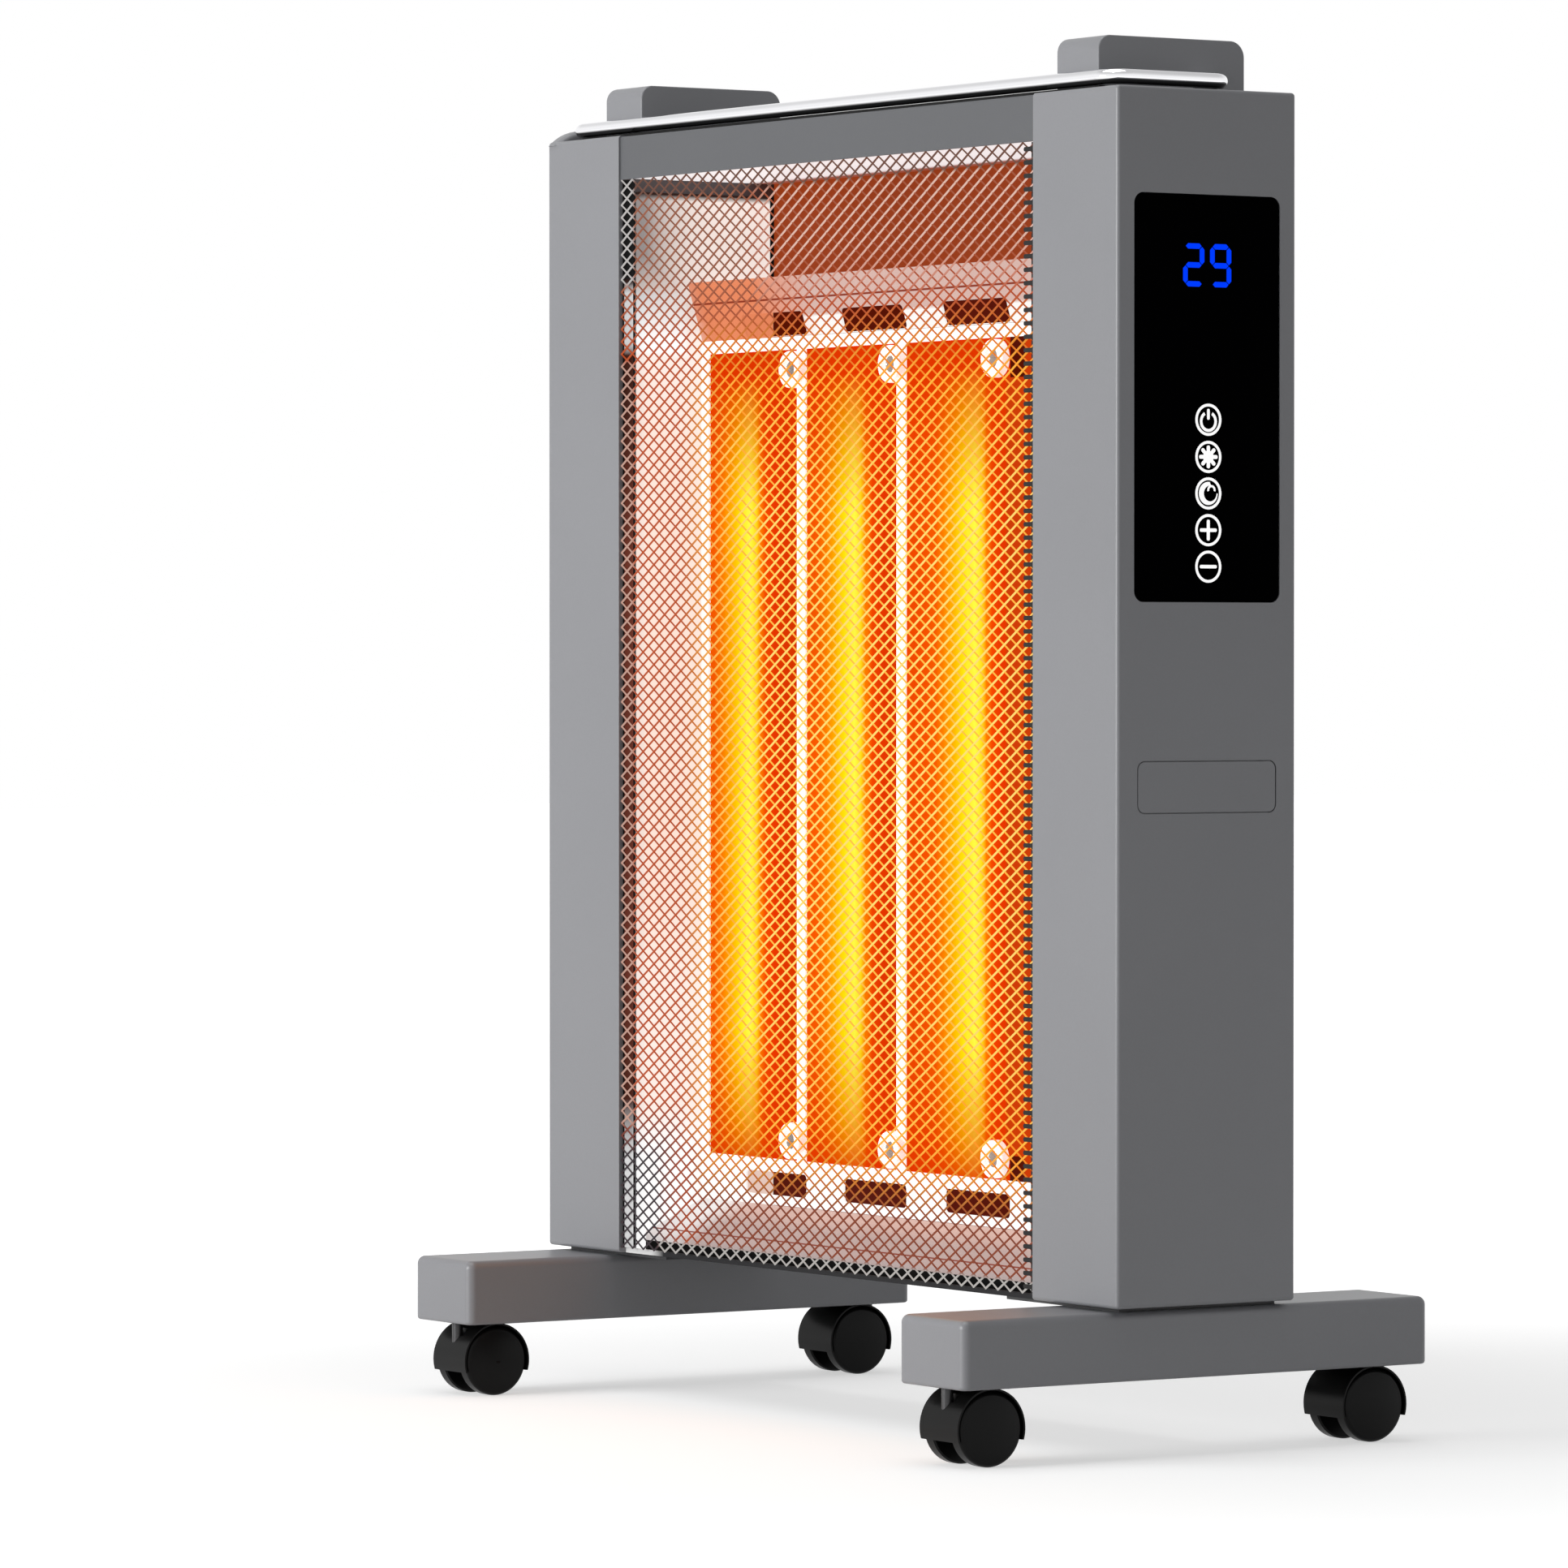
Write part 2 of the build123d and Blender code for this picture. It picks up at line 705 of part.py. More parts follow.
def castor_wheel():
    """Right wheel: tread, rounded shoulder and a closed, slightly domed face."""
    x0 = hood_web / 2 + wheel_side_gap
    x1 = x0 + wheel_w
    bore = axle_r + run_gap
    bore_x = x1 - 1.5
    step = wheel_round
    lean = step * (1 - math.cos(math.radians(45)))
    rim = wheel_r - step
    dome_r = (rim ** 2 + wheel_dome ** 2) / (2 * wheel_dome)
    half_turn = math.asin(rim / dome_r) / 2
    dome_x = x1 + wheel_dome - dome_r
    outline = [
        Line((x0, bore), (x0, wheel_r - 0.8)),
        Line((x0, wheel_r - 0.8), (x0 + 0.8, wheel_r)),
        Line((x0 + 0.8, wheel_r), (x1 - step, wheel_r)),
        ThreePointArc(
            (x1 - step, wheel_r), (x1 - lean, wheel_r - lean), (x1, rim),
        ),
        ThreePointArc(
            (x1, rim), (dome_x + dome_r * math.cos(half_turn), dome_r * math.sin(half_turn)),
            (x1 + wheel_dome, 0),
        ),
        Line((x1 + wheel_dome, 0), (bore_x, 0)),
        Line((bore_x, 0), (bore_x, bore)),
        Line((bore_x, bore), (x0, bore)),
    ]
    wheel = revolve(make_face(Wire(outline)), axis=Axis.X)
    return Pos(0, castor_trail, axle_z) * wheel


def rail_block():
    """Right rail block: hollow moulding with a boss for the rail's pivot."""
    y0 = front + block_front
    y1 = rear - block_back
    z1 = col_top + block_h
    body = block(inner, block_x1, y0, y1, col_top, z1)
    edges = body.edges().filter_by(Axis.X)
    front_edge = edges.filter_by(lambda e: e.center().Z > z1 - 1 and e.center().Y < y0 + 1)
    body = fillet(front_edge, block_front_r)
    edges = body.edges().filter_by(Axis.X)
    back_edge = edges.filter_by(lambda e: e.center().Z > z1 - 1 and e.center().Y > y1 - 1)
    body = fillet(back_edge, block_back_r)
    rims = body.faces().sort_by(Axis.X)
    rim_edges = rims[0].edges() + rims[-1].edges()
    rim_edges = rim_edges.filter_by(lambda e: e.center().Z > col_top + 0.1)
    body = fillet(rim_edges, block_edge_r)
    wall = block_wall
    room = block(inner + wall, block_x1 - wall, y0 + wall, y1 - wall, col_top - 1, z1 - block_back_r)
    body -= room
    bush_r = rail_r + run_gap + bush_wall
    boss = rod_x(block_x1 - rail_pin - wall, block_x1 - 1, pivot_y, rail_z, bush_r + 2)
    above = block(inner, side, front, rear, col_top, z1)
    body += boss & above
    body -= rod_x(block_x1 - rail_pin, block_x1 + 1, pivot_y, rail_z, bush_r)
    return body


def rail_bush():
    bush_r = rail_r + run_gap + bush_wall
    ring = rod_x(block_x1 - rail_pin, block_x1, pivot_y, rail_z, bush_r)
    return ring - rod_x(block_x1 - rail_pin - 1, block_x1 + 1, pivot_y, rail_z, rail_r + run_gap)


def rail():
    """Chrome rail: a front rod, two arms and two pins that turn in the blocks."""
    pin_x = block_x1 - rail_pin + fit_gap
    y_front = front + rail_front
    points = [
        (pin_x, pivot_y, rail_z), (rail_x, pivot_y, rail_z), (rail_x, y_front, rail_z),
        (-rail_x, y_front, rail_z), (-rail_x, pivot_y, rail_z), (-pin_x, pivot_y, rail_z),
    ]
    radii = [rail_end_r, rail_corner_r, rail_corner_r, rail_end_r]
    path = FilletPolyline(*points, radius=radii)
    return sweep(Plane(origin=path @ 0, z_dir=path % 0) * Circle(rail_r), path=path)


def rail_rest():
    """Black rubber strip on the top, on which the folded rail's front rod lies."""
    y = front + rail_front
    half = rail_x - rail_corner_r
    y0 = y - rest_d / 2
    y1 = y + rest_d / 2
    strip = block(-half, half, y0, y1, col_top, col_top + rest_h)
    crown = strip.edges().filter_by(Axis.X).group_by(Axis.Z)[-1]
    strip = fillet(crown, 0.6)
    return strip + block(-box_half, box_half, y0, y1, cover_top, col_top + rest_h / 2)


def glass_z():
    return col_z + glass_low, col_z + glass_low + glass_h


def control_glass():
    low, high = glass_z()
    x1 = side - glass_set
    return rounded_x(x1 - glass_t, x1, glass_w / 2, low, high, glass_r)


def segment_bars():
    """Seven bars of one digit: (centre across, centre up, is upright)."""
    reach = (digit_w - seg_w) / 2
    half = (digit_h - seg_w) / 2
    return {
        "a": (0, half, False),
        "b": (reach, half / 2, True),
        "c": (reach, -half / 2, True),
        "d": (0, -half, False),
        "e": (-reach, -half / 2, True),
        "f": (-reach, half / 2, True),
        "g": (0, 0, False),
    }


def display_segments():
    """Lit digits 2 and 9 on the glass, each bar a flat pointed prism."""
    bars = segment_bars()
    shown = [(-digit_pitch / 2, "abged"), (digit_pitch / 2, "abcdfg")]
    x0 = side - glass_set
    solids = []
    for shift, letters in shown:
        for letter in letters:
            across, up, upright = bars[letter]
            half = seg_w / 2
            if upright:
                run = (digit_h - seg_w) / 4 - seg_gap
                shape = [
                    (0, run), (half, run - half), (half, half - run),
                    (0, -run), (-half, half - run), (-half, run - half),
                ]
            else:
                run = (digit_w - seg_w) / 2 - seg_gap
                shape = [
                    (run, 0), (run - half, half), (half - run, half),
                    (-run, 0), (half - run, -half), (run - half, -half),
                ]
            points = [(shift + across + a, col_z + digit_mid + up + b) for a, b in shape]
            face = Plane.YZ * make_face(Polyline(*points, close=True))
            solids.append(Pos(x0, 0, 0) * extrude(face, seg_t))
    return Compound(children=solids)


def control_carrier():
    """Tray behind the glass that carries glass and board."""
    low, high = glass_z()
    x1 = side - glass_set - glass_t
    half = glass_w / 2
    flange = block(
        side - col_wall - carrier_t, side - col_wall, -half - carrier_lap, half + carrier_lap,
        low - carrier_lap, high + carrier_lap,
    )
    tray = block(x1 - carrier_deep, x1, -half + 1, half - 1, low + 1, high - 1)
    room = block(
        x1 - carrier_deep + carrier_t, x1 + 1, -half + 1 + carrier_t, half - 1 - carrier_t,
        low + 1 + carrier_t, high - 1 - carrier_t,
    )
    shelf_x = x1 - board_gap - board_t
    body = (flange + tray) - room
    for sign in (-1, 1):
        y_in = sign * (half - 1 - carrier_t)
        y_rib = sign * (half - 1 - carrier_t - 4)
        body += block(
            shelf_x - 2, shelf_x, min(y_in, y_rib), max(y_in, y_rib),
            low + 1 + carrier_t, high - 1 - carrier_t,
        )
    return body


def control_board():
    """Circuit board with its display module and touch pads."""
    low, high = glass_z()
    x1 = side - glass_set - glass_t - board_gap
    half = glass_w / 2 - 1 - carrier_t - fit_gap
    board = block(x1 - board_t, x1, -half, half, low + 6, high - 6)
    display_half = digit_w + digit_pitch / 2
    z_mid = col_z + digit_mid
    module = block(x1, x1 + board_gap - 0.5, -display_half, display_half, z_mid - 14, z_mid + 14)
    return board + module


def blank_plate():
    """Flush blank plate below the controls."""
    low = col_z + plate_low
    plate = rounded_x(side - plate_t, side, plate_w / 2, low, low + plate_h, plate_r)
    rim = plate.faces().sort_by(Axis.X)[-1].edges()
    return fillet(rim, 0.35)


def cord_gland():
    """Strain relief through the right column's rear wall."""
    x = side - gland_in
    z = col_z + gland_up
    y0 = rear - col_wall
    body = rod_y(x, y0 - 8, rear + gland_len, z, gland_r)
    tip = body.edges().filter_by(GeomType.CIRCLE).sort_by(Axis.Y)[-1]
    body = chamfer(tip, 2.5)
    for sign_y, y_face in ((-1, y0), (1, rear)):
        y_a = y_face if sign_y > 0 else y_face - gland_nut_t
        hexagon = extrude(RegularPolygon(gland_nut_r, 6), gland_nut_t / 2, both=True)
        body += Pos(x, y_a + gland_nut_t / 2, z) * Rot(90, 0, 0) * hexagon
    for index in range(3):
        y = rear + gland_nut_t + 2.2 + index * 2.6
        body -= rod_y(x, y, y + 1.1, z, gland_r + 1) - rod_y(x, y, y + 1.1, z, gland_r - 1.2)
    return body - rod_y(x, y0 - 9, rear + gland_len + 1, z, gland_bore)


def tip_switch():
    """Tilt switch on the right column's floor."""
    z0 = col_z + col_wall
    x = inner + inner_plate_t + 3 + tip_size / 2
    case = block(x - tip_size / 2, x + tip_size / 2, -tip_size / 2, tip_size / 2, z0, z0 + tip_h)
    return fillet(case.edges().filter_by(Axis.Z), 2)


def terminal_block():
    """Mains terminal strip on the inner plate of the right column."""
    x0 = inner + inner_plate_t
    z0 = col_z + terminal_up
    body = block(x0, x0 + terminal_h, -terminal_l / 2, terminal_l / 2, z0, z0 + terminal_w)
    for index in range(4):
        y = -terminal_l / 2 + terminal_l * (index + 0.5) / 4
        body -= rod_x(x0 + terminal_h - 5, x0 + terminal_h + 1, y, z0 + terminal_w / 2, 2.6)
    return body


def thermal_cutout():
    """Snap-disc cut-out on the rear of the inner back wall."""
    y0 = back_y + liner_t
    z = win_high + 25
    disc = rod_y(0, y0, y0 + cutout_t - 2, z, cutout_r)
    ears = block(-cutout_r - 5, cutout_r + 5, y0, y0 + 0.8, z - 4, z + 4)
    return disc + ears


def build_castors():
    hood = castor_hood()
    pins = castor_pins()
    wheel = castor_wheel()
    twin = mirrored(wheel)
    for name, sx, sy in (("fr", 1, -1), ("fl", -1, -1), ("rr", 1, 1), ("rl", -1, 1)):
        turn = 0 if sy < 0 else 180
        place = Pos(sx * foot_x, sy * stem_y, 0) * Rot(0, 0, turn)
        save(place * hood, "castor_hood_" + name)
        save(Compound(children=[place * pin for pin in pins]), "castor_pins_" + name)
        save(place * wheel, "castor_wheel_" + name + "_a")
        save(place * twin, "castor_wheel_" + name + "_b")


def build():
    save(right_column(), "column_right")
    save(left_column(), "column_left")
    plate = inner_plate()
    save(plate, "inner_plate_right")
    save(mirrored(plate), "inner_plate_left")
    save(top_cover(), "top_cover")
    save(bottom_pan(), "bottom_pan")
    save(rear_panel(), "rear_panel")
    save(rear_screws(), "rear_screws")
    liner = side_liner()
    save(liner, "side_liner_right")
    save(mirrored(liner), "side_liner_left")
    save(inner_back(), "inner_back")
    save(ceiling(), "ceiling_liner")
    save(upper_reflector(), "reflector_upper")
    save(lower_tray(), "reflector_lower")
    save(element_frame(), "element_frame")
    for index in range(panel_count):
        save(heater_panel(index), "heater_panel_" + str(index + 1))
    save(heating_strips(), "heating_strips")
    save(ceramic_buttons(), "ceramic_buttons")
    save(button_screws(), "button_screws")
    save(front_grille(), "front_grille")
    strip = edge_strip()
    save(Compound(children=[strip, mirrored(strip)]), "grille_edge_strips")
    shell = foot_shell()
    save(shell, "foot_right")
    save(mirrored(shell), "foot_left")
    base = foot_plate()
    save(Compound(children=[base, mirrored(base)]), "foot_plates")
    spacer = foot_spacer()
    save(Compound(children=[spacer, mirrored(spacer)]), "foot_spacers")
    save(foot_bolts(), "foot_bolts")
    post = rail_block()
    save(post, "rail_block_right")
    save(mirrored(post), "rail_block_left")
    bush = rail_bush()
    save(Compound(children=[bush, mirrored(bush)]), "rail_bushes")
    save(rail(), "towel_rail")
    save(rail_rest(), "rail_rest")
    save(control_glass(), "control_glass")
    save(display_segments(), "display_segments")
    save(control_carrier(), "control_carrier")
    save(control_board(), "control_board")
    save(blank_plate(), "blank_plate")
    save(cord_gland(), "cord_gland")
    save(tip_switch(), "tip_switch")
    save(terminal_block(), "terminal_block")
    save(thermal_cutout(), "thermal_cutout")
    build_castors()


build()
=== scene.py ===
import bpy
import bmesh
import math
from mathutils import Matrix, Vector


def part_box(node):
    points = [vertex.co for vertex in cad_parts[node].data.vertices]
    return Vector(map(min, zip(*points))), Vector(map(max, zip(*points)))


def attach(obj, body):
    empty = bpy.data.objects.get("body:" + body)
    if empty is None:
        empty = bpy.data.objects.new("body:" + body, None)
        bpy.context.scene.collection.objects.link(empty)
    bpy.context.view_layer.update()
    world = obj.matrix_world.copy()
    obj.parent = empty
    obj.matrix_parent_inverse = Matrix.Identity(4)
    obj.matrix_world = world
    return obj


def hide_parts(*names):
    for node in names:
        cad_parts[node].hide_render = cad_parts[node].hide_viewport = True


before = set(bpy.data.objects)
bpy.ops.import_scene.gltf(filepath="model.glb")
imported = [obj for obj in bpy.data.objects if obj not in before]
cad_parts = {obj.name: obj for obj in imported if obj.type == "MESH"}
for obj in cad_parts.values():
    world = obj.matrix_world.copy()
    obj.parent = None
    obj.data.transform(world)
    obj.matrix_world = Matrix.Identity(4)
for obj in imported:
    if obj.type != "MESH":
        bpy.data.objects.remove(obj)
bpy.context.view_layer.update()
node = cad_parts


# Camera
# A long lens, a little above the middle of the heater, well round to its right side. The
# picture shows the front narrow and the touch panel's side wide.
camera_data = bpy.data.cameras.new("camera")
camera_data.sensor_width = 36.0
camera_data.lens = 184.84
camera_data.clip_end = 60.0
camera = bpy.data.objects.new("camera", camera_data)
camera.location = (3.3528, -2.2787, 0.3802)
camera.rotation_euler = (math.radians(89.128), 0.0, math.radians(56.658))
bpy.context.scene.collection.objects.link(camera)
bpy.context.scene.camera = camera


# Studio
# A soft light in front, a soft light overhead and an even pale room. The world and the paper
# floor look white to the camera and in reflections, a little darker straight up, and the floor
# keeps the soft shadows.
bpy.context.scene.view_settings.view_transform = "Standard"


def area_light(name, place, aim, size, power):
    data = bpy.data.lights.new(name, "AREA")
    data.shape = "RECTANGLE"
    data.size, data.size_y = size
    data.energy = power
    lamp = bpy.data.objects.new(name, data)
    lamp.location = place
    lamp.rotation_euler = (Vector(place) - Vector(aim)).to_track_quat("Z", "Y").to_euler()
    bpy.context.scene.collection.objects.link(lamp)


area_light("front_softbox", (-0.5, -3.0, 0.78), (0.0, 0.0, 0.3), (1.6, 1.2), 72.0)
area_light("top_softbox", (0.0, -0.4, 3.0), (0.0, 0.0, 0.4), (2.2, 2.2), 30.0)


def feed(tree, socket, value):
    """Sets a socket to a plain number or colour, or links it to another node's output."""
    if isinstance(value, float):
        socket.default_value = value
    elif isinstance(value, tuple):
        socket.default_value = (*value, 1.0)
    else:
        tree.links.new(value, socket)


def worked_out(tree, operation, first, second, clamp=False):
    maths = tree.nodes.new("ShaderNodeMath")
    maths.operation = operation
    maths.use_clamp = clamp
    for socket, value in zip(maths.inputs, (first, second)):
        feed(tree, socket, value)
    return maths.outputs[0]


def stretched(tree, value, source, target, kind="LINEAR"):
    """The value moved from one range to another, and held at its ends."""
    span = tree.nodes.new("ShaderNodeMapRange")
    span.interpolation_type = kind
    for label, end in zip(("From Min", "From Max", "To Min", "To Max"), source + target):
        feed(tree, span.inputs[label], end)
    feed(tree, span.inputs["Value"], value)
    return span.outputs["Result"]


def seen_directly(tree):
    """1 where the camera, a mirror or glass looks at the surface, else 0."""
    path = tree.nodes.new("ShaderNodeLightPath")
    total = path.outputs["Is Camera Ray"]
    for ray in ("Is Glossy Ray", "Is Transmission Ray"):
        total = worked_out(tree, "MAXIMUM", total, path.outputs[ray])
    return total


world = bpy.data.worlds.new("room")
bpy.context.scene.world = world
world.use_nodes = True
tree = world.node_tree
background = tree.nodes["Background"]
feed(tree, background.inputs["Color"], (1.0, 1.0, 1.0))
room_level = 0.36
level = stretched(tree, seen_directly(tree), (0.0, 1.0), (room_level, 1.0))
sky = tree.nodes.new("ShaderNodeTexCoord")
height = tree.nodes.new("ShaderNodeSeparateXYZ")
tree.links.new(sky.outputs["Generated"], height.inputs["Vector"])
dusk = stretched(tree, height.outputs["Z"], (0.3, 0.75), (1.0, 0.6))
feed(tree, background.inputs["Strength"], worked_out(tree, "MULTIPLY", level, dusk))

bpy.ops.object.select_all(action="DESELECT")
floor_w = 30.0
bpy.ops.mesh.primitive_plane_add(size=floor_w, location=(0.0, 0.0, 0.0))
floor = bpy.context.object
floor.name = "floor"
paper = bpy.data.materials.new("floor_paper")
paper.use_nodes = True
tree = paper.node_tree
bsdf = tree.nodes["Principled BSDF"]
for label, value in (
    ("Base Color", (0.62, 0.62, 0.62)), ("Roughness", 0.9), ("Specular IOR Level", 0.0),
    ("Emission Color", (1.0, 1.0, 1.0)),
):
    feed(tree, bsdf.inputs[label], value)
spot = tree.nodes.new("ShaderNodeTexCoord")
far = tree.nodes.new("ShaderNodeVectorMath")
far.operation = "LENGTH"
tree.links.new(spot.outputs["Object"], far.inputs[0])
near_rim, far_rim = 0.32, 1.3
fill = stretched(tree, far.outputs["Value"], (near_rim, far_rim), (0.53, 0.95), "SMOOTHSTEP")
lift = worked_out(tree, "MULTIPLY", seen_directly(tree), fill)
feed(tree, bsdf.inputs["Emission Strength"], lift)
floor.data.materials.append(paper)


# Moulded grey shells
# Columns, rail blocks, feet and blank plate are moulded in one grey plastic with a fine grain.
# The cover and the rear and inner sheets are steel, coated a darker grey.
def new_group(name, inputs, outputs):
    group = bpy.data.node_groups.new(name, "ShaderNodeTree")
    for label, kind, value in inputs:
        socket = group.interface.new_socket(label, in_out="INPUT", socket_type=kind)
        socket.default_value = value
    for label, kind in outputs:
        group.interface.new_socket(label, in_out="OUTPUT", socket_type=kind)
    return group, group.nodes.new("NodeGroupInput"), group.nodes.new("NodeGroupOutput")


grain, entry, leave = new_group(
    "surface_grain",
    [("Scale", "NodeSocketFloat", 900.0), ("Tone", "NodeSocketFloat", 0.1)],
    [("Shade", "NodeSocketFloat"), ("Height", "NodeSocketFloat")],
)
place = grain.nodes.new("ShaderNodeTexCoord")
fine = grain.nodes.new("ShaderNodeTexNoise")
fine.inputs["Detail"].default_value = 3.0
cloud = grain.nodes.new("ShaderNodeTexNoise")
cloud.inputs["Scale"].default_value = 7.0
cloud.inputs["Detail"].default_value = 2.0
mix = grain.nodes.new("ShaderNodeMix")
mix.inputs["Factor"].default_value = 0.35
grain.links.new(place.outputs["Object"], fine.inputs["Vector"])
grain.links.new(place.outputs["Object"], cloud.inputs["Vector"])
grain.links.new(entry.outputs["Scale"], fine.inputs["Scale"])
grain.links.new(cloud.outputs["Fac"], mix.inputs["A"])
grain.links.new(fine.outputs["Fac"], mix.inputs["B"])
darkest = worked_out(grain, "SUBTRACT", 1.0, entry.outputs["Tone"])
palest = worked_out(grain, "ADD", 1.0, entry.outputs["Tone"])
shade = stretched(grain, mix.outputs["Result"], (0.0, 1.0), (darkest, palest))
feed(grain, leave.inputs["Shade"], shade)
feed(grain, leave.inputs["Height"], fine.outputs["Fac"])


def grain_skin(tree, scale, tone):
    skin = tree.nodes.new("ShaderNodeGroup")
    skin.node_tree = grain
    skin.inputs["Scale"].default_value = scale
    skin.inputs["Tone"].default_value = tone
    return skin


def blended(tree, factor, first, second, kind="MIX"):
    """One colour laid over another; MULTIPLY tints the first by the second."""
    mix = tree.nodes.new("ShaderNodeMix")
    mix.data_type = "RGBA"
    mix.blend_type = kind
    for label, value in (("Factor", factor), ("A", first), ("B", second)):
        feed(tree, mix.inputs[label], value)
    return mix.outputs["Result"]


grain_depth = 0.0002


def grained(
    name, colour, roughness, scale=900.0, tone=0.1, relief=0.1, metallic=0.0, gloss=0.5
):
    """Material of one colour with the surface grain in its tone and relief."""
    material = bpy.data.materials.new(name)
    material.use_nodes = True
    tree = material.node_tree
    bsdf = tree.nodes["Principled BSDF"]
    bsdf.inputs["Roughness"].default_value = roughness
    bsdf.inputs["Metallic"].default_value = metallic
    bsdf.inputs["Specular IOR Level"].default_value = gloss
    skin = grain_skin(tree, scale, tone)
    tint = blended(tree, 1.0, colour, skin.outputs["Shade"], "MULTIPLY")
    feed(tree, bsdf.inputs["Base Color"], tint)
    bump = tree.nodes.new("ShaderNodeBump")
    bump.inputs["Strength"].default_value = relief
    bump.inputs["Distance"].default_value = grain_depth
    feed(tree, bump.inputs["Height"], skin.outputs["Height"])
    feed(tree, bsdf.inputs["Normal"], bump.outputs["Normal"])
    return material


def paint(part, material):
    part.data.materials.clear()
    part.data.materials.append(material)


grey_shell = grained("grey_shell", (0.225, 0.228, 0.242), 0.38)
for name in (
    "column_right", "column_left", "rail_block_right", "rail_block_left",
    "foot_right", "foot_left", "blank_plate",
):
    paint(node[name], grey_shell)

grey_coat = grained("grey_coat", (0.082, 0.085, 0.092), 0.42, 1400.0, 0.08, 0.15)
for name in ("top_cover", "rear_panel", "inner_plate_right", "inner_plate_left"):
    paint(node[name], grey_coat)


# Expanded metal
# The front net is one sheet, slit and drawn into diamonds about 10 mm wide and 6 mm high. The
# strands that rise to the right lie flat to the front, the falling ones stand on edge. Bare
# steel, whose colour is painted glow from the box it faces, given off as its own light: yellow
# before the panels, red-brown at the left, with painted shade under the top and at the lower
# left. The falling strands get a darker copy, as painted shade on their edge-on faces.
net_low, net_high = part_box("front_grille")
cell_w, cell_h = 0.0103, 0.0064
strand_t, stub = 0.0006, 0.0001
rising_w, falling_w = 0.00092, 0.00066
cols = int((net_high.x - net_low.x) / cell_w)
rows = int((net_high.z - net_low.z) / cell_h)
cell_w = (net_high.x - net_low.x) / cols
cell_h = (net_high.z - net_low.z) / rows


def start_cube(name, low, high):
    """Cube between two corners, placed in its mesh, with its object at the origin."""
    bpy.ops.object.select_all(action="DESELECT")
    low, high = Vector(low), Vector(high)
    bpy.ops.mesh.primitive_cube_add(size=1.0, location=(low + high) / 2, scale=high - low)
    piece = bpy.context.object
    piece.name = piece.data.name = name
    bpy.ops.object.transform_apply(location=True, rotation=True, scale=True)
    return piece


def pick(piece, kind, test):
    """Edit mode on the piece, with the faces or edges that pass the test selected."""
    bpy.context.view_layer.objects.active = piece
    bpy.ops.object.mode_set(mode="EDIT")
    bpy.ops.mesh.select_mode(type=kind)
    bpy.ops.mesh.select_all(action="DESELECT")
    mesh = bmesh.from_edit_mesh(piece.data)
    for item in mesh.faces if kind == "FACE" else mesh.edges:
        if test(item):
            item.select_set(True)
    mesh.select_flush_mode()
    bmesh.update_edit_mesh(piece.data)


def apply_all(piece):
    """Every modifier on the piece becomes mesh."""
    bpy.ops.object.select_all(action="DESELECT")
    piece.select_set(True)
    bpy.context.view_layer.objects.active = piece
    for modifier in list(piece.modifiers):
        bpy.ops.object.modifier_apply(modifier=modifier.name)


def repeat(piece, step, count):
    array = piece.modifiers.new("repeat", "ARRAY")
    array.use_relative_offset = False
    array.use_constant_offset = True
    array.constant_offset_displace = step
    array.count = count


def join_as(name, pieces):
    bpy.ops.object.select_all(action="DESELECT")
    for piece in pieces:
        piece.select_set(True)
    bpy.context.view_layer.objects.active = pieces[0]
    bpy.ops.object.join()
    whole = bpy.context.object
    whole.name = whole.data.name = name
    return whole


def strands(name, y0, y1, width, rise):
    """All strands of one direction: one slanting strand, repeated over the sheet."""
    z = net_low.z + (0.0 if rise > 0 else cell_h)
    strand = start_cube(
        name, (net_low.x, y0, z - width / 2), (net_low.x + stub, y1, z + width / 2)
    )
    pick(strand, "FACE", lambda face: face.normal.x > 0.9)
    bpy.ops.mesh.extrude_region_move(TRANSFORM_OT_translate={"value": (cell_w, 0.0, rise)})
    bpy.ops.object.mode_set(mode="OBJECT")
    repeat(strand, (cell_w, 0.0, 0.0), cols)
    repeat(strand, (0.0, 0.0, cell_h), rows)
    apply_all(strand)
    return strand


window, entry, leave = new_group(
    "soft_window",
    [("Across", "NodeSocketFloat", 0.0), ("Up", "NodeSocketFloat", 0.0)]
    + [(side, "NodeSocketFloat", 0.0) for side in ("Left", "Right", "Low", "High")]
    + [("Soft", "NodeSocketFloat", 0.01)],
    [("Mask", "NodeSocketFloat")],
)


inside = [
    worked_out(window, "SUBTRACT", entry.outputs["Across"], entry.outputs["Left"]),
    worked_out(window, "SUBTRACT", entry.outputs["Right"], entry.outputs["Across"]),
    worked_out(window, "SUBTRACT", entry.outputs["Up"], entry.outputs["Low"]),
    worked_out(window, "SUBTRACT", entry.outputs["High"], entry.outputs["Up"]),
]
nearest = inside[0]
for distance in inside[1:]:
    nearest = worked_out(window, "MINIMUM", nearest, distance)
softened = worked_out(window, "DIVIDE", nearest, entry.outputs["Soft"])
window.links.new(worked_out(window, "ADD", softened, 0.5, True), leave.inputs["Mask"])


